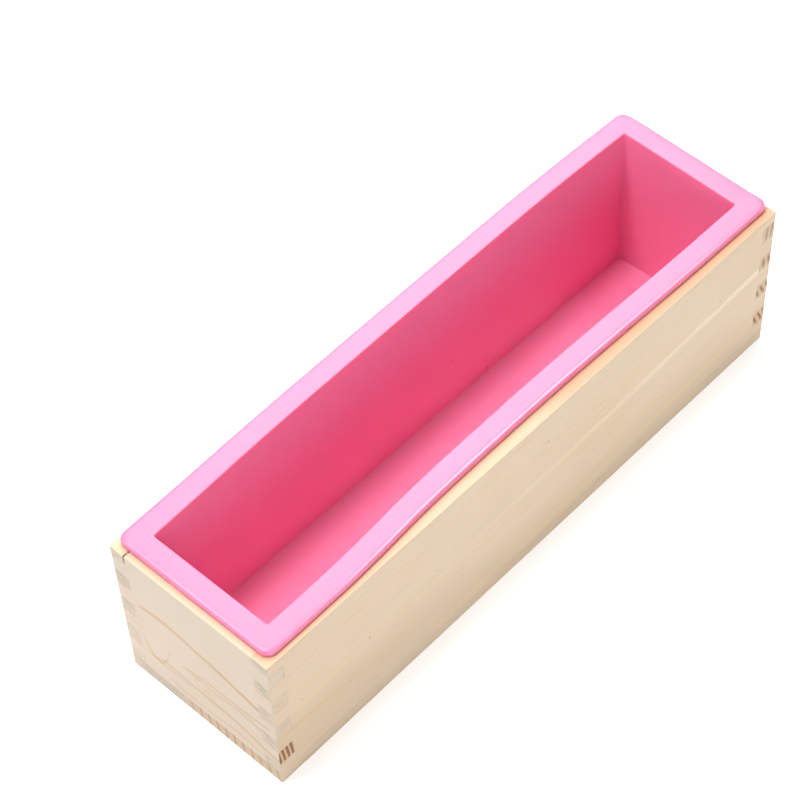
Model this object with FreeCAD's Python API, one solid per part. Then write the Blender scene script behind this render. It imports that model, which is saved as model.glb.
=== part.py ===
import FreeCAD, Part
import os

# Soap loaf mould: a finger-jointed pine box and the soft silicone liner that lifts out of it.
# Millimetres, +Z up. X runs along the mould and Y across it, and the front long board is at -Y.
# The origin is the middle of the box's flat underside.

# The pine box, outside sizes and board thicknesses
box_length = 280.0
box_width = 77.3
box_height = 73.5
bottom_thickness = 6.5
long_board_thickness = 7.4
end_board_thickness = 7.3
eased_edge = 0.6

# The finger joints at the four corners
finger_height = 8.05
end_board_fingers = 4
lowest_finger_rise = 5.9

# The silicone liner
cavity_length = 259.0
cavity_width = 56.1
wall_thickness = 2.6
floor_thickness = 3.0
gap_under_liner = 0.3
flange_length = 277.0
flange_width = 74.1
flange_thickness = 3.3
flange_lift = 1.5
flange_corner_radius = 4.6
flange_edge_radius = 0.6
cavity_corner_radius = 0.9
cavity_rim_radius = 0.5
tub_corner_radius = 2.5

# Worked out from the sizes above
lowest_finger = bottom_thickness + lowest_finger_rise
liner_bottom = bottom_thickness + gap_under_liner
cavity_floor = liner_bottom + floor_thickness
flange_bottom = box_height + flange_lift
flange_top = flange_bottom + flange_thickness
tub_length = cavity_length + 2 * wall_thickness
tub_width = cavity_width + 2 * wall_thickness


def block(x_size, y_size, z_low, z_high, x_middle=0.0, y_middle=0.0):
    """A square-edged block that stands between two heights."""
    corner = FreeCAD.Vector(x_middle - x_size / 2, y_middle - y_size / 2, z_low)
    return Part.makeBox(x_size, y_size, z_high - z_low, corner)


def upright(edge):
    """Whether an edge runs straight up."""
    return abs(edge.Vertexes[0].Z - edge.Vertexes[-1].Z) > 1.0


def level_at(edge, height):
    """Whether a whole edge lies at one height."""
    box = edge.BoundBox
    return abs(box.ZMin - height) < 0.01 and abs(box.ZMax - height) < 0.01


def rounded_block(x_size, y_size, z_low, z_high, corner_radius):
    """A block whose four upright edges are rounded."""
    square = block(x_size, y_size, z_low, z_high)
    return square.makeFillet(corner_radius, [e for e in square.Edges if upright(e)])


def eased(board):
    """A board with the outside edges of the finished box lightly sanded round."""
    outside = block(box_length, box_width, 0.0, box_height)
    return board.common(outside.makeFillet(eased_edge, outside.Edges))


def corner_fingers(y_side):
    """The end boards' fingers where they pass through the long board on one side."""
    fingers = []
    for x_side in (-1, 1):
        x_middle = x_side * (box_length - end_board_thickness) / 2
        y_middle = y_side * (box_width - long_board_thickness) / 2
        for number in range(end_board_fingers):
            z_low = lowest_finger + 2 * number * finger_height
            finger = block(
                end_board_thickness,
                long_board_thickness,
                z_low,
                z_low + finger_height,
                x_middle,
                y_middle,
            )
            fingers.append(finger)
    return fingers


def long_board(y_side):
    """A long wall with its own fingers left standing at both ends."""
    y_middle = y_side * (box_width - long_board_thickness) / 2
    slab = block(box_length, long_board_thickness, bottom_thickness, box_height, 0.0, y_middle)
    for finger in corner_fingers(y_side):
        slab = slab.cut(finger)
    return slab


def end_board(x_side):
    """An end wall that fills the space between the long walls and the gaps in their fingers."""
    x_middle = x_side * (box_length - end_board_thickness) / 2
    slab = block(end_board_thickness, box_width, bottom_thickness, box_height, x_middle)
    for y_side in (-1, 1):
        slab = slab.cut(long_board(y_side))
    return slab


def bottom_board():
    """The board under all four walls, as large as the box."""
    return block(box_length, box_width, 0.0, bottom_thickness)


def liner_tub():
    """The liner's outside below the flange, rounded at the uprights and round the foot."""
    tub = rounded_block(tub_length, tub_width, liner_bottom, flange_bottom + 0.5, tub_corner_radius)
    foot = [e for e in tub.Edges if level_at(e, liner_bottom)]
    return tub.makeFillet(tub_corner_radius * 0.8, foot)


def liner_flange():
    """The flat rim that lies over the top of the box, with soft edges all round."""
    flange = rounded_block(
        flange_length, flange_width, flange_bottom, flange_top, flange_corner_radius
    )
    return flange.makeFillet(flange_edge_radius, [e for e in flange.Edges if not upright(e)])


def liner_cavity():
    """The space that holds the soap, straight-walled with crisp corners."""
    cavity = rounded_block(
        cavity_length, cavity_width, cavity_floor, flange_top + 5.0, cavity_corner_radius
    )
    floor_edges = [e for e in cavity.Edges if level_at(e, cavity_floor)]
    return cavity.makeFillet(cavity_corner_radius * 0.9, floor_edges)


def silicone_liner():
    """One soft moulding: the tub, its flange and the cavity, softened at the opening."""
    body = liner_tub().fuse(liner_flange()).cut(liner_cavity()).removeSplitter()
    rim = []
    for edge in body.Edges:
        box = edge.BoundBox
        inside = box.XLength < cavity_length + 0.1 and box.YLength < cavity_width + 0.1
        near_cavity = max(abs(box.XMin), abs(box.XMax)) < cavity_length / 2 + 0.1
        if level_at(edge, flange_top) and inside and near_cavity:
            rim.append(edge)
    return body.makeFillet(cavity_rim_radius, rim)


nodes = {
    "bottom_board": eased(bottom_board()),
    "front_long_board": eased(long_board(-1)),
    "back_long_board": eased(long_board(1)),
    "left_end_board": eased(end_board(-1)),
    "right_end_board": eased(end_board(1)),
    "silicone_liner": silicone_liner(),
}

os.makedirs("parts", exist_ok=True)
for name, shape in nodes.items():
    shape.exportStep("parts/" + name + ".step")
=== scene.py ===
import math
from itertools import product

import bmesh
import bpy
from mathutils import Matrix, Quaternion, Vector, noise


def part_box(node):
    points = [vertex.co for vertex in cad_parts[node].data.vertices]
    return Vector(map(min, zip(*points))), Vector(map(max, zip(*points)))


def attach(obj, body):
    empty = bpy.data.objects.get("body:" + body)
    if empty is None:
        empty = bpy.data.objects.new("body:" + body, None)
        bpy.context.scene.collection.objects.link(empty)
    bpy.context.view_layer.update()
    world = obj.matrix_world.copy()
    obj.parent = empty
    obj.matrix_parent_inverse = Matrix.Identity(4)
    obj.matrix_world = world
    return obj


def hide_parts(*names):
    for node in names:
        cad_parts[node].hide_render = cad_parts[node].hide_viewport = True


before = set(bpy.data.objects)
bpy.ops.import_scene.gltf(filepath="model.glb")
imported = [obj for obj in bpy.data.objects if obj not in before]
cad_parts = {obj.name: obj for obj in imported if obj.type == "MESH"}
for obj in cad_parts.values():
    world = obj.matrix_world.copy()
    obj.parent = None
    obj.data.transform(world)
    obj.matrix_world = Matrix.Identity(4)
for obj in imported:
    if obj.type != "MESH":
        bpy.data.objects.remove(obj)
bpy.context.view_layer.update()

# A soap loaf mould on a white table: a finger-jointed pine box and its pink silicone liner.
# The frame is in metres. Sizes that are easier to read in millimetres are multiplied by MM.
MM = 0.001

# ---------------------------------------------------------------- sizes read from the frame

half_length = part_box("front_long_board")[1].x
half_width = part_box("bottom_board")[1].y
box_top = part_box("front_long_board")[1].z
bottom_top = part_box("bottom_board")[1].z
long_board_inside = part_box("back_long_board")[0].y
end_board_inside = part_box("right_end_board")[0].x
liner_low, liner_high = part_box("silicone_liner")

# The finger joints, as cut: four fingers of each end board pass through each long board.
FINGER_HEIGHT = 8.05 * MM
FINGER_COUNT = 4
LOWEST_FINGER = bottom_top + 5.9 * MM


# ---------------------------------------------------------------- camera, table and lights

CAMERA_AIM = Vector((-5.6, 26.7, 40.0)) * MM
CAMERA_DISTANCE = 885.6 * MM
CAMERA_AZIMUTH = -44.93
CAMERA_ELEVATION = 50.31
CAMERA_ROLL = -3.04
CAMERA_LENS = 104.33

# The studio lights: name, azimuth, elevation, distance, width, height, power and whether the light
# shows only as a shine on surfaces. Degrees, metres and watts.
SOFTBOXES = (
    ("back_window", 136.0, 53.0, 1.3, 0.86, 0.86, 13.2, False),
    ("overhead_light", -116.0, 72.0, 1.3, 0.18, 0.6, 13.0, False),
    ("front_fill", -20.0, 19.0, 1.9, 0.9, 0.9, 9.3, False),
    ("near_edge_shine", -138.0, 53.0, 1.3, 0.3, 0.3, 7.0, True),
    ("right_edge_shine", 48.0, 53.0, 1.3, 0.3, 0.3, 15.0, True),
)
SKY_COLOUR = (0.95, 0.96, 1.0, 1.0)
SKY_STRENGTH = 0.27

# The table is large enough for its far edge to stay out of the pictures taken from above
TABLE_HALF_SIZE = 20.0
TABLE_SQUARES = 8


def direction(azimuth, elevation):
    """The unit vector towards a place at that azimuth (0 is in front, at -Y) and elevation."""
    turn = math.radians(azimuth)
    rise = math.radians(elevation)
    level = math.cos(rise)
    return Vector((math.sin(turn) * level, -math.cos(turn) * level, math.sin(rise)))


def add_camera():
    data = bpy.data.cameras.new("camera")
    data.lens = CAMERA_LENS
    data.sensor_width = 36.0
    data.clip_start = 0.01
    data.clip_end = 50.0
    camera = bpy.data.objects.new("camera", data)
    bpy.context.scene.collection.objects.link(camera)
    towards = direction(CAMERA_AZIMUTH, CAMERA_ELEVATION)
    roll = Quaternion((0.0, 0.0, 1.0), math.radians(CAMERA_ROLL))
    camera.location = CAMERA_AIM + towards * CAMERA_DISTANCE
    camera.rotation_mode = "QUATERNION"
    camera.rotation_quaternion = (-towards).to_track_quat("-Z", "Y") @ roll
    bpy.context.scene.camera = camera


def add_softbox(name, azimuth, elevation, distance, width, height, power, only_shine):
    """A rectangular light that faces the middle of the mould, or shows only in its reflections."""
    data = bpy.data.lights.new(name, "AREA")
    data.shape = "RECTANGLE"
    data.size = width
    data.size_y = height
    data.energy = power
    light = bpy.data.objects.new(name, data)
    bpy.context.scene.collection.objects.link(light)
    towards = direction(azimuth, elevation)
    light.location = Vector((0.0, 0.0, box_top / 2)) + towards * distance
    light.rotation_mode = "QUATERNION"
    light.rotation_quaternion = (-towards).to_track_quat("-Z", "Y")
    light.visible_diffuse = not only_shine


def add_lights():
    world = bpy.data.worlds.new("studio")
    bpy.context.scene.world = world
    world.use_nodes = True
    background = world.node_tree.nodes["Background"]
    background.inputs["Color"].default_value = SKY_COLOUR
    background.inputs["Strength"].default_value = SKY_STRENGTH
    for softbox in SOFTBOXES:
        add_softbox(*softbox)


# ---------------------------------------------------------------- materials

# A grain line can lie anywhere up to this height, in millimetres
HIGHEST_LINE = 80.0


class Shader:
    """A material's nodes, with a short method for each kind of node that is used often."""

    def __init__(self, name):
        self.material = bpy.data.materials.new(name)
        self.material.use_nodes = True
        self.tree = self.material.node_tree
        self.surface = self.tree.nodes["Principled BSDF"]

    def feed(self, socket, value):
        """Sets an input to a number or colour, or joins it to another node's output."""
        if isinstance(value, bpy.types.NodeSocket):
            self.tree.links.new(value, socket)
        else:
            socket.default_value = value

    def node(self, kind, values, **settings):
        made = self.tree.nodes.new("ShaderNode" + kind)
        for key, value in settings.items():
            setattr(made, key, value)
        for socket, value in values.items():
            self.feed(made.inputs[socket], value)
        return made

    def math(self, operation, *values, clamp=False):
        values = dict(enumerate(values))
        return self.node("Math", values, operation=operation, use_clamp=clamp).outputs[0]

    def vector_math(self, operation, *values):
        values = dict(enumerate(values))
        made = self.node("VectorMath", values, operation=operation)
        return made.outputs["Value" if operation in ("LENGTH", "DISTANCE") else "Vector"]

    def noise(self, vector, scale, detail=2.0, roughness=0.5):
        values = {"Vector": vector, "Scale": scale, "Detail": detail, "Roughness": roughness}
        return self.node("TexNoise", values).outputs["Fac"]

    def step(self, value, low, high):
        """0 below low and 1 above high, with a smooth rise between them."""
        values = {"Value": value, "From Min": low, "From Max": high}
        made = self.node("MapRange", values, interpolation_type="SMOOTHSTEP")
        return made.outputs["Result"]

    def ramp(self, value, start, end, low, high):
        """Low up to start, high from end on, and a straight rise between them."""
        values = {"Value": value, "From Min": start, "From Max": end, "To Min": low, "To Max": high}
        return self.node("MapRange", values).outputs["Result"]

    def scaled(self, value, low, high):
        """A 0 to 1 value spread over low to high."""
        return self.ramp(value, 0.0, 1.0, low, high)

    def blend(self, amount, first, second):
        """Mixes two colours: 0 is the first and 1 the second."""
        colour_a, colour_b, colour_result = 6, 7, 2
        values = {"Factor": amount, colour_a: first, colour_b: second}
        return self.node("Mix", values, data_type="RGBA").outputs[colour_result]

    def course(self, value, points, tallest):
        """A smooth curve through (place, height) points, read at a value."""
        start, end = points[0][0], points[-1][0]
        made = self.node("FloatCurve", {"Value": self.ramp(value, start, end, 0.0, 1.0)})
        curve = made.mapping.curves[0]
        spots = [((place - start) / (end - start), height / tallest) for place, height in points]
        curve.points[0].location = spots[0]
        curve.points[1].location = spots[-1]
        for spot in spots[1:-1]:
            curve.points.new(*spot)
        made.mapping.update()
        return self.math("MULTIPLY", made.outputs[0], tallest)

    def grain_line(self, along, height, points, below, above):
        """1 on a line through points, fading out below and above it and beyond its two ends."""
        half_fade = 2.5
        offset = self.math("SUBTRACT", height, self.course(along, points, HIGHEST_LINE))
        line = self.math("MULTIPLY", self.step(offset, -below, 0.0), self.step(offset, above, 0.0))
        first, last = points[0][0], points[-1][0]
        start = self.step(along, first - half_fade, first + half_fade)
        end = self.step(along, last + half_fade, last - half_fade)
        return self.math("MULTIPLY", line, self.math("MULTIPLY", start, end))

    def bump(self, height, distance, strength=1.0):
        values = {"Height": height, "Distance": distance, "Strength": strength}
        return self.node("Bump", values).outputs["Normal"]


TABLE_GREYS = ((0.86, 0.87, 0.88, 1.0), (0.90, 0.905, 0.91, 1.0))


def table_material():
    shader = Shader("white_table")
    coordinates = shader.node("TexCoord", {}).outputs["Object"]
    mottle = shader.noise(coordinates, 9.0, 3.0)
    colour = shader.blend(mottle, *TABLE_GREYS)
    shader.feed(shader.surface.inputs["Base Color"], colour)
    shader.surface.inputs["Roughness"].default_value = 0.75
    shader.surface.inputs["Specular IOR Level"].default_value = 0.2
    shader.surface.inputs["Emission Color"].default_value = (1.0, 1.0, 1.0, 1.0)
    shader.surface.inputs["Emission Strength"].default_value = 0.50
    return shader.material


# How each board was sawn, in millimetres. grain holds the axes of its grain, width and thickness.
# pith is where the middle of the log lies across and through the board, and wander is how far the
# growth rings stray from circles. dense is the part of a ring's width where its dark wood starts and
# is fully dark. on_face is how strongly the rings show on the faces, and bars how strongly on the
# end grain, as (place across the board, strength).
SAWN = {
    "front_long_board": dict(
        grain=(0, 2, 1), pith=(-130.0, -70.0), ring_width=1.7, wander=5.0, dense=(0.32, 0.62),
        on_face=0.10, bars=((0, 0.06), (30, 0.10), (60, 0.08), (74, 0.06)),
    ),
    "back_long_board": dict(
        grain=(0, 2, 1), pith=(-90.0, 88.0), ring_width=2.4, wander=7.0, dense=(0.32, 0.62),
        on_face=0.2, bars=((0, 0.05), (40, 0.08), (56, 0.12), (74, 0.06)),
    ),
    "left_end_board": dict(
        grain=(1, 2, 0), pith=(5.0, -212.2), ring_width=2.0, wander=0.8, dense=(0.25, 0.50),
        on_face=0.0, bars=((10, 0.85), (20, 0.95), (23, 0.0), (48, 0.0), (74, 0.0)),
    ),
    "right_end_board": dict(
        grain=(1, 2, 0), pith=(60.0, 209.0), ring_width=3.3, wander=2.0, dense=(0.40, 0.62),
        on_face=0.15, bars=(
            (12, 0.0), (16.5, 0.90), (21, 0.0), (28, 0.0), (32.5, 0.80), (37, 0.0), (44, 0.0),
            (48.5, 0.72), (53, 0.0), (60, 0.0), (64.5, 0.55), (69, 0.0),
        ),
    ),
    "bottom_board": dict(
        grain=(0, 1, 2), pith=(205.0, -20.0), ring_width=4.35, wander=0.8, dense=(0.70, 0.80),
        on_face=0.1, bars=((-38, 0.38), (0, 0.46), (8, 0.28), (13, 0.0), (38, 0.0)),
    ),
}

# The two colours that each board's faces drift between, and the colour of its end grain
TONES = {
    "front_long_board": ((0.645, 0.52, 0.38), (0.625, 0.495, 0.355), (0.635, 0.53, 0.42)),
    "back_long_board": ((0.68, 0.55, 0.41), (0.63, 0.485, 0.345), (0.64, 0.535, 0.43)),
    "left_end_board": ((0.65, 0.54, 0.44), (0.645, 0.53, 0.435), (0.61, 0.485, 0.36)),
    "right_end_board": ((0.67, 0.55, 0.42), (0.63, 0.495, 0.355), (0.585, 0.475, 0.355)),
    "bottom_board": ((0.61, 0.485, 0.355), (0.58, 0.45, 0.32), (0.61, 0.50, 0.39)),
}

# The colours of each board's sanded top at the low and at the high end of its grain, and where
# along it the one turns into the other
TOPS = {
    "front_long_board": ((0.75, 0.545, 0.37), (0.74, 0.54, 0.36), -140.0, 140.0),
    "back_long_board": ((0.76, 0.60, 0.39), (0.76, 0.585, 0.38), -140.0, 140.0),
    "left_end_board": ((0.745, 0.61, 0.43), (0.74, 0.60, 0.42), -38.0, 38.0),
    "right_end_board": ((0.74, 0.585, 0.38), (0.74, 0.585, 0.38), -38.0, 38.0),
    "bottom_board": ((0.69, 0.55, 0.40), (0.69, 0.55, 0.40), -140.0, 140.0),
}

# How strongly the painted warm light of the pink rim shows on a board's top, and where along the board
# the wood beside the rim gets painted pink bounce light all over: its colour, and where that starts and
# is full
RIM_GLOW = {
    "front_long_board": 0.95,
    "back_long_board": 0.4,
    "left_end_board": 0.4,
    "right_end_board": 0.4,
    "bottom_board": 0.4,
}
RIM_BOUNCE_LIGHT = {"front_long_board": ((0.705, 0.415, 0.255), -5.0, 22.0)}

# How far from the wood the rim still shades it, and the open share of the sky (1 is all of it) at
# which each of the rim's painted light and shade effects starts and is full
RIM_REACH = 7.0 * MM
BOUNCE_LIGHT_SKY = (1.0, 0.95)
GLOW_SKY = (0.97, 0.50)
SHADOW_LINE_SKY = (0.35, 0.10)
# How strongly the painted shadow line under the rim tints the wood
SHADOW_LINE_TINT = 0.8

# The patterns in the wood: how long each is along its axis and how wide across it, in millimetres,
# and the detail and roughness of its noise
PATTERNS = {
    "ring stray": (90.0, 16.0, 2.0, 0.5),
    "fibre": (22.0, 0.5, 3.0, 0.6),
    "streak": (120.0, 3.5, 3.0, 0.6),
    "tone": (100.0, 24.0, 1.0, 0.5),
    "patch": (60.0, 14.0, 1.0, 0.5),
    "line wobble": (14.0, 9.0, 2.0, 0.5),
    "pore dash": (3.6, 0.6, 2.0, 0.5),
}

# The noise values at which each pattern starts and is full
STREAK_RANGE = (0.42, 0.70)
TONE_RANGE = (0.35, 0.65)
PATCH_RANGE = (0.42, 0.62)
FIBRE_RANGE = (0.52, 0.70)
TOP_FIBRE_RANGE = (0.45, 0.72)
DASH_RANGE = (0.50, 0.64)

# A face turns to end grain, or to the sanded top, as the share of its normal along the grain, or
# upwards, goes from the first number to the second
END_GRAIN_RANGE = (0.55, 0.85)
TOP_RANGE = (0.45, 0.85)

# How strongly each pattern tints the wood, from 0 to 1
STREAK_TINT = 0.30
FIBRE_TINT = 0.36
TOP_FIBRE_TINT = 0.14
PORE_TINT = 0.14
DASH_TINT = 0.46
BAR_TINT = 0.75

BROWN = (0.58, 0.34, 0.14)
UMBER = (0.55, 0.355, 0.165)
TAN = (0.70, 0.51, 0.32)
CREAM = (0.90, 0.76, 0.58)
OLIVE = (0.60, 0.53, 0.415)
SHADE = (0.555, 0.43, 0.29)
GREY = (0.44, 0.37, 0.29)
KNOT = (0.26, 0.15, 0.08)
CORE = (0.20, 0.09, 0.035)
# The orange of the painted warm light that the rim throws on the wood, and the red of the painted shadow
# line under it
RIM_LIGHT_ORANGE = (0.78, 0.40, 0.24)
RIM_SHADOW_RED = (0.88, 0.34, 0.22)

# Grain lines that stand out on a board's face, and on the front board a band of painted shade low on its
# face: colour, strength at the low and at the high end, how far the line fades below and above it, and
# its course as (place along, height) points
GRAIN_LINES = {
    "left_end_board": (
        (OLIVE, 0.45, 0.45, 8.0, 60.0, ((-46, 59.0), (46, 61.0))),
        (UMBER, 1.0, 0.72, 3.0, 0.8, (
            (-35, 40.5), (-28, 41.6), (-15, 44.6), (0, 46.9), (7, 48.4), (15, 49.0), (28, 48.0),
        )),
        (UMBER, 0.62, 0.42, 2.4, 0.8, ((-36, 33.0), (-20, 31.2), (0, 30.0), (8, 28.0))),
        (UMBER, 0.60, 0.40, 2.0, 0.8, ((-36, 27.0), (-18, 28.3), (-7, 27.4), (6, 29.0))),
        (UMBER, 0.90, 0.55, 2.0, 0.8, (
            (-39, 14.4), (-32, 15.5), (-26, 17.0), (-14, 19.0), (1, 19.7), (20, 21.0),
        )),
        (UMBER, 0.45, 0.45, 1.5, 0.7, ((-8, 20.2), (-3, 22.4), (3, 24.0))),
        (UMBER, 0.42, 0.42, 1.5, 0.8, ((-30, 10.0), (-16, 12.1), (-8, 10.4), (17, 11.2))),
        (UMBER, 0.45, 0.50, 1.5, 0.8, ((5, 17.8), (14, 17.9), (22, 17.6), (38, 20.5))),
        (UMBER, 0.62, 0.62, 2.4, 1.6, ((15.5, 29.0), (18, 21.5), (22, 18.0), (26, 20.5), (30, 30.0))),
    ),
    "front_long_board": (
        # Painted shade: the front board's face darker towards its bottom, most at the near end
        (SHADE, 0.80, 0.35, 28.0, 22.0, ((-150, 22.0), (-60, 19.0), (0, 8.0), (150, 10.0))),
        (CREAM, 0.0, 0.48, 3.5, 1.6, ((-60, 41.0), (0, 41.0), (60, 43.0), (139, 46.8))),
        (BROWN, 0.42, 0.0, 3.5, 2.0, ((-140, 29.0), (-110, 26.0), (-62, 24.0))),
        (TAN, 0.25, 0.25, 1.6, 0.8, ((-140, 36.5), (-80, 37.0), (-20, 36.0))),
        (TAN, 0.35, 0.45, 5.0, 3.0, ((-60, 9.0), (20, 11.0), (139, 17.0))),
    ),
    "back_long_board": (
        (BROWN, 0.35, 0.25, 2.0, 0.6, ((-139, 55.0), (-60, 52.0), (20, 53.5), (139, 49.0))),
        (TAN, 0.55, 0.35, 3.0, 2.0, ((-139, 22.0), (-30, 26.0), (60, 24.0), (139, 30.0))),
    ),
    "right_end_board": (
        (BROWN, 0.30, 0.50, 2.0, 0.6, ((-38, 30.0), (-10, 33.0), (38, 31.0))),
        (BROWN, 0.45, 0.20, 1.6, 0.6, ((-38, 54.0), (0, 51.0), (38, 52.5))),
    ),
}

# Small marks on a board's faces: colour, strength, place and size along, place and size across
FACE_MARKS = {
    "left_end_board": (
        (BROWN, 0.30, 2.0, 3.4, 27.0, 2.6),
        (BROWN, 0.18, -5.0, 5.0, 24.0, 2.0),
    ),
    "front_long_board": (
        (KNOT, 0.75, 4.5, 0.8, 58.9, 0.8),
        (BROWN, 0.40, 2.6, 2.4, 59.1, 0.9),
        (KNOT, 0.50, -92.0, 0.7, 39.2, 0.9),
        (KNOT, 0.35, -126.5, 0.6, 39.8, 0.9),
        (KNOT, 0.40, -57.0, 0.6, 43.0, 0.8),
        (KNOT, 0.55, 107.5, 0.6, 48.8, 0.8),
        (KNOT, 0.35, 35.5, 0.9, 6.9, 0.8),
        (KNOT, 0.35, 94.0, 0.9, 7.0, 0.8),
        (KNOT, 0.35, 105.5, 0.9, 7.0, 0.8),
        (KNOT, 0.30, -103.4, 0.8, 24.6, 0.8),
    ),
}

# Soft marks on a board's end grain: colour, strength, place and size through the board, place and
# size across it, and how much they climb for each millimetre through it
END_MARKS = {
    "front_long_board": (
        (GREY, 0.65, -34.6, 4.0, 72.0, 1.5, 0.15),
        (GREY, 0.75, -35.0, 4.2, 58.9, 1.4, 0.40),
        (GREY, 0.75, -35.2, 4.2, 55.6, 1.3, 0.40),
        (GREY, 0.45, -34.5, 4.0, 43.5, 1.2, 0.45),
        (GREY, 0.35, -34.8, 3.8, 40.4, 1.0, 0.45),
        (GREY, 0.75, -34.6, 3.8, 26.4, 1.5, 0.70),
        (GREY, 0.65, -34.8, 3.6, 22.6, 1.2, 0.70),
    ),
    "back_long_board": (
        (GREY, 0.75, 34.4, 4.2, 59.0, 1.3, 0.5),
        (GREY, 0.70, 34.8, 4.0, 56.0, 1.0, 0.5),
        (GREY, 0.65, 34.4, 3.6, 53.0, 1.0, 0.5),
        (GREY, 0.75, 34.0, 4.0, 42.5, 1.2, 0.6),
        (GREY, 0.65, 34.6, 3.8, 39.5, 1.0, 0.6),
        (GREY, 0.50, 34.5, 3.8, 26.0, 1.2, 0.7),
        (GREY, 0.40, 34.5, 3.6, 22.5, 1.0, 0.7),
        (GREY, 0.30, 34.5, 3.6, 7.5, 1.8, 0.0),
        (GREY, 0.70, 35.7, 3.4, 70.2, 0.7, -0.58),
    ),
    "left_end_board": (
        (GREY, 0.35, -135.8, 4.4, 33.8, 4.0, 0.2),
        (BROWN, 0.35, -136.6, 3.6, 29.8, 1.2, 0.0),
        (BROWN, 0.32, -136.2, 4.0, 47.6, 2.6, 0.2),
        (OLIVE, 0.25, -137.0, 3.6, 64.0, 4.4, 0.0),
        (KNOT, 0.35, -133.1, 0.9, 62.6, 0.9, 0.0),
    ),
    "bottom_board": (
        (GREY, 0.38, 3.0, 30.0, 24.0, 20.0, 0.0),
    ),
}


def pine_material(board):
    """Solid pine: growth rings through the whole board, with its own grain lines and marks."""
    sawn = SAWN[board]
    along, across, through = sawn["grain"]
    shader = Shader("pine_" + board)
    coordinates = shader.node("TexCoord", {})
    place = shader.vector_math("SCALE", coordinates.outputs["Object"])
    place.node.inputs["Scale"].default_value = 1.0 / MM
    parts = shader.node("SeparateXYZ", {0: place}).outputs
    normal = shader.node("SeparateXYZ", {0: coordinates.outputs["Normal"]}).outputs
    end_grain = shader.step(shader.math("ABSOLUTE", normal[along]), *END_GRAIN_RANGE)

    def pattern(name, axis):
        """Noise that is long along one axis and short along the others."""
        long_size, short_size, detail, roughness = PATTERNS[name]
        size = [short_size] * 3
        size[axis] = long_size
        stretched = shader.vector_math("DIVIDE", place, Vector(size))
        return shader.noise(stretched, 1.0, detail, roughness)

    def tint(surface, amount, colour):
        return shader.blend(amount, surface, (*colour, 1.0))

    def product_of(first, second):
        return shader.math("MULTIPLY", first, second)

    def mark(surface, colour, strength, first, second):
        """A soft round mark, where both first and second run from -1 to 1 across it."""
        spot = shader.node("CombineXYZ", {0: first, 1: second}).outputs[0]
        spread = shader.vector_math("LENGTH", spot)
        return tint(surface, product_of(shader.step(spread, 1.0, 0.3), strength), colour)

    def part_of_mark(value, middle, size):
        """How far a value is from the middle of a mark, as a share of the mark's size."""
        return shader.math("DIVIDE", shader.math("SUBTRACT", value, middle), size)

    # Growth rings round the pith, which lies outside the board
    stray = shader.scaled(pattern("ring stray", along), -1.0, 1.0)
    across_pith = shader.math("SUBTRACT", parts[across], sawn["pith"][0])
    through_pith = shader.math("SUBTRACT", parts[through], sawn["pith"][1])
    flat = shader.node("CombineXYZ", {0: across_pith, 1: through_pith}).outputs[0]
    radius = shader.vector_math("LENGTH", flat)
    radius = shader.math("MULTIPLY_ADD", stray, sawn["wander"], radius)
    season = shader.math("FRACT", shader.math("DIVIDE", radius, sawn["ring_width"]))
    latewood = shader.step(season, *sawn["dense"])
    latewood = product_of(latewood, shader.step(season, 1.0, 0.88))

    # The faces along the grain
    fibre = pattern("fibre", along)
    streak = pattern("streak", along)
    tone = pattern("tone", along)
    patch = shader.step(pattern("patch", along), *PATCH_RANGE)
    pale, deep, end_tone = [(*tone_colour, 1.0) for tone_colour in TONES[board]]
    face = shader.blend(shader.step(tone, *TONE_RANGE), pale, deep)
    face = tint(face, product_of(shader.step(streak, *STREAK_RANGE), STREAK_TINT), TAN)
    face = tint(face, product_of(latewood, shader.scaled(patch, 0.0, sawn["on_face"])), BROWN)
    face = tint(face, product_of(shader.step(fibre, *FIBRE_RANGE), FIBRE_TINT), BROWN)
    wobble = shader.scaled(pattern("line wobble", along), -1.0, 1.0)
    height = shader.math("ADD", parts[across], wobble)
    for colour, low_strength, high_strength, below, above, course in GRAIN_LINES.get(board, ()):
        line = shader.grain_line(parts[along], height, course, below, above)
        start, end = course[0][0], course[-1][0]
        strength = shader.ramp(parts[along], start, end, low_strength, high_strength)
        face = tint(face, product_of(line, strength), colour)
    for colour, strength, middle, long_size, level, tall_size in FACE_MARKS.get(board, ()):
        first = part_of_mark(parts[along], middle, long_size)
        second = part_of_mark(parts[across], level, tall_size)
        face = mark(face, colour, strength, first, second)

    # The sanded top
    low_top, high_top, turn_start, turn_end = TOPS[board]
    turned = shader.step(parts[along], turn_start, turn_end)
    top = shader.blend(turned, (*low_top, 1.0), (*high_top, 1.0))
    top = tint(top, product_of(shader.step(fibre, *TOP_FIBRE_RANGE), TOP_FIBRE_TINT), BROWN)

    # Painted light and shade from the soft rim on the wood that it almost touches: a painted warm glow,
    # painted pink bounce light beside it on part of the front board, and a painted shadow line under it
    open_sky = shader.node("AmbientOcclusion", {"Distance": RIM_REACH}, samples=16).outputs["AO"]
    # Painted pink bounce light on the front board's top beside the rim
    if board in RIM_BOUNCE_LIGHT:
        bounce_light, bounce_start, bounce_full = RIM_BOUNCE_LIGHT[board]
        here = shader.step(parts[along], bounce_start, bounce_full)
        top = tint(top, product_of(here, shader.step(open_sky, *BOUNCE_LIGHT_SKY)), bounce_light)
    # Painted warm glow where the rim shuts out some of the sky
    top = tint(top, product_of(shader.step(open_sky, *GLOW_SKY), RIM_GLOW[board]), RIM_LIGHT_ORANGE)
    # Painted shadow line where the rim shuts out most of the sky
    top = tint(top, product_of(shader.step(open_sky, *SHADOW_LINE_SKY), SHADOW_LINE_TINT), RIM_SHADOW_RED)
    face = shader.blend(shader.step(normal[2], *TOP_RANGE), face, top)

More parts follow.
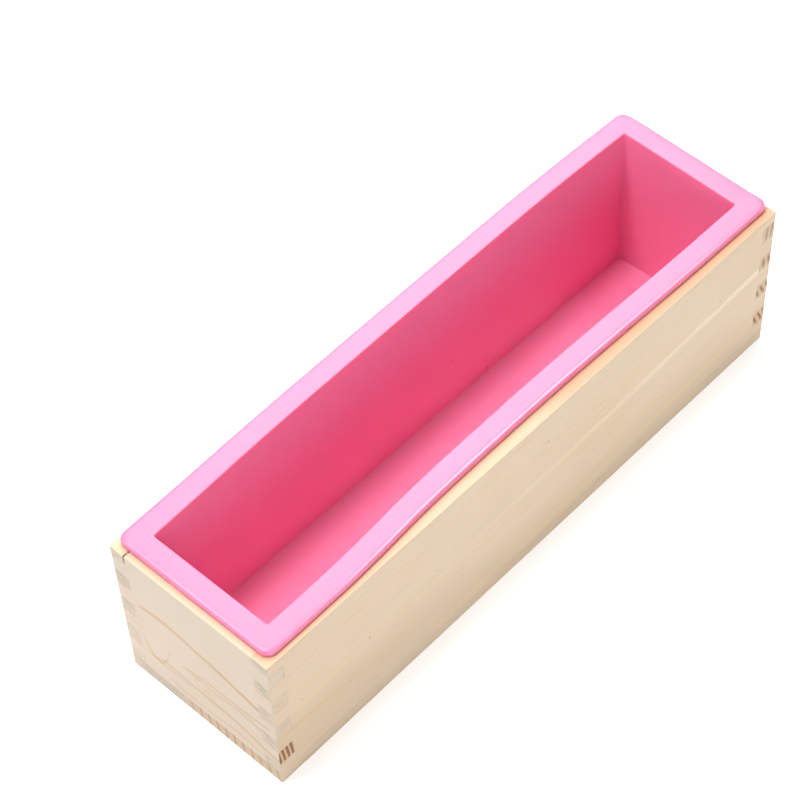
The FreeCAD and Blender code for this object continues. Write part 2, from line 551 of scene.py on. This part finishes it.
    # The end grain, porous, with the rings cut across
    end = tint(end_tone, product_of(shader.noise(place, 1.3, 3.0, 0.7), PORE_TINT), GREY)
    dash = shader.step(pattern("pore dash", through), *DASH_RANGE)
    end = tint(end, product_of(dash, DASH_TINT), GREY)
    for colour, strength, middle, deep_size, level, tall_size, climb in END_MARKS.get(board, ()):
        first = part_of_mark(parts[through], middle, deep_size)
        slanted = shader.math("MULTIPLY_ADD", first, -climb * deep_size, parts[across])
        end = mark(end, colour, strength, first, part_of_mark(slanted, level, tall_size))
    strength = shader.course(parts[across], sawn["bars"], 1.0)
    end = tint(end, product_of(strength, BAR_TINT), BROWN)
    end = tint(end, product_of(latewood, strength), CORE)

    colour = shader.blend(end_grain, face, end)
    shader.feed(shader.surface.inputs["Base Color"], colour)
    shader.feed(shader.surface.inputs["Roughness"], shader.scaled(fibre, 0.52, 0.72))
    shader.surface.inputs["Specular IOR Level"].default_value = 0.3
    relief = shader.math("MULTIPLY_ADD", latewood, 0.4, fibre)
    shader.feed(shader.surface.inputs["Normal"], shader.bump(relief, 0.08 * MM, 0.45))
    return shader.material


# Specks of dust in the cavity: place and size in millimetres, and strength from 0 to 1
SPECKS = (
    ((46.0, 28.3, 12.5), 0.9, 0.65),
    ((26.6, 28.7, 33.3), 0.9, 0.40),
)
DUST = (0.45, 0.10, 0.18)
PINKS = ((0.885, 0.240, 0.425, 1.0), (0.905, 0.260, 0.445, 1.0))


def silicone_material():
    """Pink silicone rubber: soft, a little see-through, satin on the surface."""
    shader = Shader("pink_silicone_rubber")
    coordinates = shader.node("TexCoord", {}).outputs["Object"]
    cloud = shader.noise(coordinates, 22.0, 2.0)
    colour = shader.blend(cloud, *PINKS)
    for place, size, strength in SPECKS:
        distance = shader.vector_math("DISTANCE", coordinates, Vector(place) * MM)
        speck = shader.step(distance, size * MM, 0.4 * size * MM)
        amount = shader.math("MULTIPLY", speck, strength)
        colour = shader.blend(amount, colour, (*DUST, 1.0))
    shader.feed(shader.surface.inputs["Base Color"], colour)
    shader.surface.inputs["Subsurface Weight"].default_value = 0.65
    shader.surface.inputs["Subsurface Radius"].default_value = (1.0, 0.25, 0.35)
    shader.surface.inputs["Subsurface Scale"].default_value = 3.5 * MM
    shader.surface.inputs["IOR"].default_value = 1.41
    shader.surface.inputs["Specular IOR Level"].default_value = 0.62
    smear = shader.noise(coordinates, 60.0, 3.0)
    shader.feed(shader.surface.inputs["Roughness"], shader.scaled(smear, 0.28, 0.38))
    powder = shader.noise(coordinates, 900.0, 2.0)
    shader.feed(shader.surface.inputs["Normal"], shader.bump(powder, 0.02 * MM, 0.3))
    return shader.material


# ---------------------------------------------------------------- the pine box

# Two places closer together than this are the same
SAME_PLACE = 0.01 * MM

# How finely the boards are divided
GRID_SPACING = 3.0 * MM

# How far the box's outside edges and the edges inside its joints are rounded, in how many steps, and
# the angle in radians above which an edge counts as one
OUTSIDE_ROUND = (0.45 * MM, 3)
JOINT_ROUND = (0.12 * MM, 1)
SHARP_ANGLE = 1.2

# The unevenness of a sanded board: slow waves and quick ones, each as (length, height)
SLOW_WAVES = (22.0 * MM, 0.07 * MM)
QUICK_WAVES = (6.0 * MM, 0.03 * MM)


def spaced(low, high, spacing, stops=()):
    """Numbers from low to high that include every stop and are at most one spacing apart."""
    marks = sorted({low, high, *(s for s in stops if low + SAME_PLACE < s < high - SAME_PLACE)})
    numbers = [low]
    for start, end in zip(marks, marks[1:]):
        count = max(1, math.ceil((end - start) / spacing - 1e-6))
        numbers += [start + (end - start) * n / count for n in range(1, count + 1)]
    return numbers


def finger_marks():
    """The heights at which one board's finger ends and the other's starts."""
    return [LOWEST_FINGER + n * FINGER_HEIGHT for n in range(2 * FINGER_COUNT)]


def in_end_board_finger(z):
    """Whether a height lies in a finger of the end boards."""
    number = (z - LOWEST_FINGER) / FINGER_HEIGHT
    return 0.0 < number < 2 * FINGER_COUNT - 1 and int(number) % 2 == 0


def grid_solid(grid, filled):
    """A closed bmesh of the cells between grid lines whose middles are filled."""
    solid = bmesh.new()
    corners = {}

    def corner(index):
        if index not in corners:
            corners[index] = solid.verts.new([grid[axis][index[axis]] for axis in range(3)])
        return corners[index]

    def is_filled(cell):
        if any(cell[axis] < 0 or cell[axis] > len(grid[axis]) - 2 for axis in range(3)):
            return False
        lines = [grid[axis][cell[axis]:cell[axis] + 2] for axis in range(3)]
        return filled(*[sum(pair) / 2 for pair in lines])

    for cell in product(*[range(len(lines) - 1) for lines in grid]):
        if not is_filled(cell):
            continue
        for axis, side in product(range(3), (0, 1)):
            neighbour = list(cell)
            neighbour[axis] += 2 * side - 1
            if is_filled(neighbour):
                continue
            first, second = (axis + 1) % 3, (axis + 2) % 3
            round_face = [(0, 0), (1, 0), (1, 1), (0, 1)]
            face = []
            for a, b in round_face if side else reversed(round_face):
                index = list(cell)
                index[axis] += side
                index[first] += a
                index[second] += b
                face.append(corner(tuple(index)))
            solid.faces.new(face)
    return solid


def on_outside(face):
    """Whether a face lies on the outside of the finished box."""
    place = face.calc_center_median()
    at_end = abs(place.x) > half_length - SAME_PLACE
    at_side = abs(place.y) > half_width - SAME_PLACE
    return at_end or at_side or place.z > box_top - SAME_PLACE or place.z < SAME_PLACE


def ease_edges(solid):
    """Rounds the box's outside edges well, and the edges inside the joints only slightly."""
    for outside, (size, steps) in ((True, OUTSIDE_ROUND), (False, JOINT_ROUND)):
        solid.normal_update()
        edges = []
        for edge in solid.edges:
            sharp = edge.is_convex and edge.calc_face_angle(0.0) > SHARP_ANGLE
            if sharp and (not outside or all(on_outside(face) for face in edge.link_faces)):
                edges.append(edge)
        bmesh.ops.bevel(solid, geom=edges, offset=size, segments=steps, profile=0.5, affect="EDGES")


# The waves of unevenness start from this seed, so that they are the same in every run
noise.seed_set(7)


def sanded(point):
    """The small unevenness of a sanded board, as a shift of a point of its surface."""
    shift = Vector()
    for length, height in (SLOW_WAVES, QUICK_WAVES):
        shift += noise.noise_vector(point / length) * height
    return shift


def add_piece(name, solid, material, body, node):
    """Makes an object of a bmesh that stands for a CAD node and moves with its body."""
    data = bpy.data.meshes.new(name)
    solid.to_mesh(data)
    solid.free()
    data.materials.append(material)
    data.shade_smooth()
    piece = bpy.data.objects.new(name, data)
    bpy.context.scene.collection.objects.link(piece)
    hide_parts(node)
    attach(piece, body)
    return piece


def add_board(node, grid, filled):
    """One board, from the cells of its grid that are filled with wood."""
    solid = grid_solid(grid, filled)
    ease_edges(solid)
    for vertex in solid.verts:
        vertex.co += sanded(vertex.co)
        vertex.co.z = max(0.0, vertex.co.z)
    material = pine_material(node)
    piece = add_piece("pine_" + node, solid, material, "wooden_box", node)
    flat = piece.modifiers.new("flat_faces", "WEIGHTED_NORMAL")
    flat.keep_sharp = True


# A chip in the joint at the near left corner: a slot along the end of the back long board's top
# finger, and a pit just behind it. Each is the box of missing wood, in millimetres.
CHIPS = (
    ((-140.0, 31.0, 69.6), (-138.2, 32.0, 73.5)),
    ((-137.7, 31.0, 72.2), (-136.6, 32.0, 73.5)),
)


def chip_stops(axis):
    """Where the chips start and end along one axis."""
    return [corner[axis] * MM for chip in CHIPS for corner in chip]


def chipped(x, y, z):
    """Whether a place lies in one of the chips."""
    place = (x / MM, y / MM, z / MM)
    return any(all(a < p < b for a, p, b in zip(low, place, high)) for low, high in CHIPS)


def add_box():
    for node, side in (("front_long_board", -1), ("back_long_board", 1)):
        x_stops = [-end_board_inside, end_board_inside]
        y_stops = []
        z_stops = finger_marks()
        if node == "back_long_board":
            x_stops += chip_stops(0)
            y_stops += chip_stops(1)
            z_stops += chip_stops(2)
        near_y, far_y = sorted((side * long_board_inside, side * half_width))
        grid = (
            spaced(-half_length, half_length, GRID_SPACING, x_stops),
            spaced(near_y, far_y, far_y - near_y, y_stops),
            spaced(bottom_top, box_top, GRID_SPACING, z_stops),
        )

        def in_long_board(x, y, z):
            at_finger = abs(x) > end_board_inside and in_end_board_finger(z)
            return not at_finger and not chipped(x, y, z)

        add_board(node, grid, in_long_board)

    for node, side in (("left_end_board", -1), ("right_end_board", 1)):
        y_stops = (-long_board_inside, long_board_inside)
        grid = (
            sorted((side * end_board_inside, side * half_length)),
            spaced(-half_width, half_width, GRID_SPACING, y_stops),
            spaced(bottom_top, box_top, GRID_SPACING, finger_marks()),
        )

        def in_end_board(x, y, z):
            return abs(y) < long_board_inside or in_end_board_finger(z)

        add_board(node, grid, in_end_board)

    x_lines = spaced(-half_length, half_length, GRID_SPACING)
    y_lines = spaced(-half_width, half_width, GRID_SPACING)
    add_board("bottom_board", (x_lines, y_lines, [0.0, bottom_top]), lambda x, y, z: True)


# ---------------------------------------------------------------- the silicone liner

CAVITY_HALF_LENGTH = 129.5 * MM
CAVITY_HALF_WIDTH = 28.05 * MM
WALL = 2.6 * MM
FLANGE = liner_high.x - CAVITY_HALF_LENGTH
FLANGE_THICKNESS = 3.3 * MM
FLOOR = 3.0 * MM
liner_floor = liner_low.z + FLOOR
flange_under = liner_high.z - FLANGE_THICKNESS

# The softened top edge of the flange, as (inward from its outer side, down from its top) in
# millimetres: a gentle slope that catches the light, then a quick turn down
CROWN = (
    (1.55, 0.0), (1.25, 0.03), (0.95, 0.13), (0.65, 0.28), (0.38, 0.43), (0.18, 0.62), (0.05, 0.88),
    (0.0, 1.15),
)

# How the soft rim sits, in millimetres as (place along the mould, amount): how far each long side
# leans towards the back, how much higher than level it lies, and how much wider the back flange is
FRONT_LEAN = (
    (-140, 0.4), (-100, 0.75), (-80, 1.6), (-60, 2.9), (-35, 3.6), (10, 3.9), (50, 3.3), (90, 2.4),
    (140, 2.0),
)
BACK_LEAN = ((-140, -0.2), (-105, 0.4), (-75, 1.2), (-40, 1.6), (40, 2.1), (90, 2.0), (140, 0.8))
FRONT_LIFT = ((-140, -1.7), (-80, -1.5), (0, -1.4), (80, -1.4), (140, -1.3))
BACK_LIFT = ((-140, -1.7), (-80, 0.0), (0, 1.2), (80, 2.0), (140, 2.0))
BACK_SPREAD = ((-140, 0.9), (-100, 0.5), (-60, 0.25), (140, 0.3))

# How far the near and the far end lean along the mould: at the opening and at the flange's edge
NEAR_SHIFT = (1.4, 1.3)
FAR_SHIFT = (0.45, 1.05)

# Leaning and lifting grow with height as these powers of it
LEAN_POWER = 1.3
LIFT_POWER = 3

# Inside the box, the outer side of the tub can't lean further than this. Points further out than
# TUB_SIDE and lower than BOX_LEVEL belong to it.
ROOM_IN_BOX = 0.4 * MM
TUB_SIDE = 1.5 * MM
BOX_LEVEL = box_top + 0.3 * MM

# How many steps the mesh of the liner has along each stretch of its cross-section, and round it
FLOOR_STEPS = 8
WALL_STEPS = 18
TOP_STEPS = 5
UNDER_STEPS = 4
OUTSIDE_STEPS = 16
BASE_STEPS = 6
ROUND_STEPS = 4
ROOT_STEPS = 3
SIDE_STEPS = (60, 16, 60, 16)
CORNER_STEPS = 6


def between(places, x):
    """A value read at x from a smooth curve through a short list of (x, value) places.

    The curve takes its slope at each place from the places on both sides of it.
    """
    last = len(places) - 1
    x = max(places[0][0], min(places[last][0], x))

    def slope(n):
        before, after = places[max(n - 1, 0)], places[min(n + 1, last)]
        return (after[1] - before[1]) / (after[0] - before[0])

    for n in range(last):
        (x0, value0), (x1, value1) = places[n], places[n + 1]
        if x <= x1:
            width = x1 - x0
            t = (x - x0) / width
            rise = value0 + (value1 - value0) * t * t * (3 - 2 * t)
            bend = slope(n) * t * (1 - t) ** 2 - slope(n + 1) * t * t * (1 - t)
            return rise + bend * width


def on_circle(centre, radius, degrees):
    angle = math.radians(degrees)
    return (centre[0] + radius * math.cos(angle), centre[1] + radius * math.sin(angle))


def arc(centre, radius, start, end, steps):
    """Points on a circle between two angles in degrees, both ends included."""
    turn = (end - start) / steps
    return [on_circle(centre, radius, start + turn * n) for n in range(steps + 1)]


def run(start, end, steps):
    """Points in a straight line, both ends left out."""
    return [
        (start[0] + (end[0] - start[0]) * n / steps, start[1] + (end[1] - start[1]) * n / steps)
        for n in range(1, steps)
    ]


def liner_section():
    """The liner's cross-section, from the middle of its floor round to its underside.

    Each point is (outward from the cavity wall, height).
    """
    heel = 0.12 * MM
    lip = 0.6 * MM
    under_round = 0.2 * MM
    root = 1.0 * MM
    foot = 2.0 * MM
    top = liner_high.z
    low = liner_low.z
    middle = -26.0 * MM
    corner = FLANGE - under_round
    section = [(middle, liner_floor)]
    section += run((middle, liner_floor), (-heel, liner_floor), FLOOR_STEPS)
    section += arc((-heel, liner_floor + heel), heel, -90, 0, ROUND_STEPS)
    section += run((0.0, liner_floor + heel), (0.0, top - lip), WALL_STEPS)
    section += arc((lip, top - lip), lip, 180, 90, ROUND_STEPS)
    section += run((lip, top), (FLANGE - CROWN[0][0] * MM, top), TOP_STEPS)
    section += [(FLANGE - inward * MM, top - drop * MM) for inward, drop in CROWN]
    section += arc((corner, flange_under + under_round), under_round, 0, -90, ROUND_STEPS)
    section += run((corner, flange_under), (WALL + root, flange_under), UNDER_STEPS)
    section += arc((WALL + root, flange_under - root), root, 90, 180, ROOT_STEPS)
    section += run((WALL, flange_under - root), (WALL, low + foot), OUTSIDE_STEPS)
    section += arc((WALL - foot, low + foot), foot, 0, -90, ROUND_STEPS)
    section += run((WALL - foot, low), (middle, low), BASE_STEPS)
    section += [(middle, low)]
    return section


def corner_radius(outward):
    """The plan radius of the liner's corners: crisp in the cavity and round on the flange."""
    cavity = 0.9 * MM
    flange = 4.0 * MM
    return cavity + (flange - cavity) * max(0.0, min(1.0, outward / FLANGE))


def plan_ring(outward):
    """Points round the liner at one distance outward from the cavity wall."""
    half_x = CAVITY_HALF_LENGTH + outward
    half_y = CAVITY_HALF_WIDTH + outward
    radius = corner_radius(outward)
    corners = ((1, 1), (-1, 1), (-1, -1), (1, -1))
    ring = []
    for number, (sx, sy) in enumerate(corners):
        centre = (sx * (half_x - radius), sy * (half_y - radius))
        ring += arc(centre, radius, 90 * number, 90 * number + 90, CORNER_STEPS)
        start = ring[-1]
        next_sx, next_sy = corners[(number + 1) % 4]
        next_centre = (next_sx * (half_x - radius), next_sy * (half_y - radius))
        end = on_circle(next_centre, radius, 90 * number + 90)
        ring += run(start, end, SIDE_STEPS[number])
    return ring


def soft_shape(x, y, z, outward):
    """Where a point of the straight liner goes on the soft, slightly leaning one."""
    rise = max(0.0, (z - liner_floor) / (liner_high.z - liner_floor))
    side = max(-1.0, min(1.0, y / CAVITY_HALF_WIDTH))
    front_share, back_share = (1 - side) / 2, (1 + side) / 2
    place = x / MM
    lean = between(FRONT_LEAN, place) * front_share + between(BACK_LEAN, place) * back_share
    lift = between(FRONT_LIFT, place) * front_share + between(BACK_LIFT, place) * back_share
    shift = lean * MM * rise ** LEAN_POWER
    in_box = outward > TUB_SIDE and z < BOX_LEVEL
    if in_box and y > 0:
        shift = min(shift, ROOM_IN_BOX)
    spread = max(0.0, min(1.0, outward / FLANGE))
    if y > 0:
        shift += between(BACK_SPREAD, place) * MM * spread * back_share
    share = max(0.0, min(1.0, 0.5 + 0.5 * x / CAVITY_HALF_LENGTH))
    near = NEAR_SHIFT[0] + (NEAR_SHIFT[1] - NEAR_SHIFT[0]) * spread
    far = FAR_SHIFT[0] + (FAR_SHIFT[1] - FAR_SHIFT[0]) * spread
    along = (near + (far - near) * share) * MM * rise
    if in_box and x > 0:
        along = min(along, ROOM_IN_BOX)
    return Vector((x + along, y + shift, z + lift * MM * rise ** LIFT_POWER))


def add_liner():
    """The liner as one closed mesh: a ring of points for each point of its cross-section."""
    solid = bmesh.new()
    rings = []
    for outward, z in liner_section():
        ring = [solid.verts.new(soft_shape(x, y, z, outward)) for x, y in plan_ring(outward)]
        rings.append(ring)
    count = len(rings[0])
    for lower, upper in zip(rings, rings[1:]):
        for n in range(count):
            m = (n + 1) % count
            solid.faces.new((lower[n], lower[m], upper[m], upper[n]))
    solid.faces.new(rings[0])
    solid.faces.new(list(reversed(rings[-1])))
    bmesh.ops.recalc_face_normals(solid, faces=solid.faces)
    add_piece("pink_liner", solid, silicone_material(), "liner", "silicone_liner")


def add_table():
    solid = bmesh.new()
    bmesh.ops.create_grid(solid, x_segments=TABLE_SQUARES, y_segments=TABLE_SQUARES, size=TABLE_HALF_SIZE)
    data = bpy.data.meshes.new("table")
    solid.to_mesh(data)
    solid.free()
    data.materials.append(table_material())
    table = bpy.data.objects.new("table", data)
    bpy.context.scene.collection.objects.link(table)


bpy.context.scene.view_settings.view_transform = "Standard"
add_camera()
add_lights()
add_table()
add_box()
add_liner()
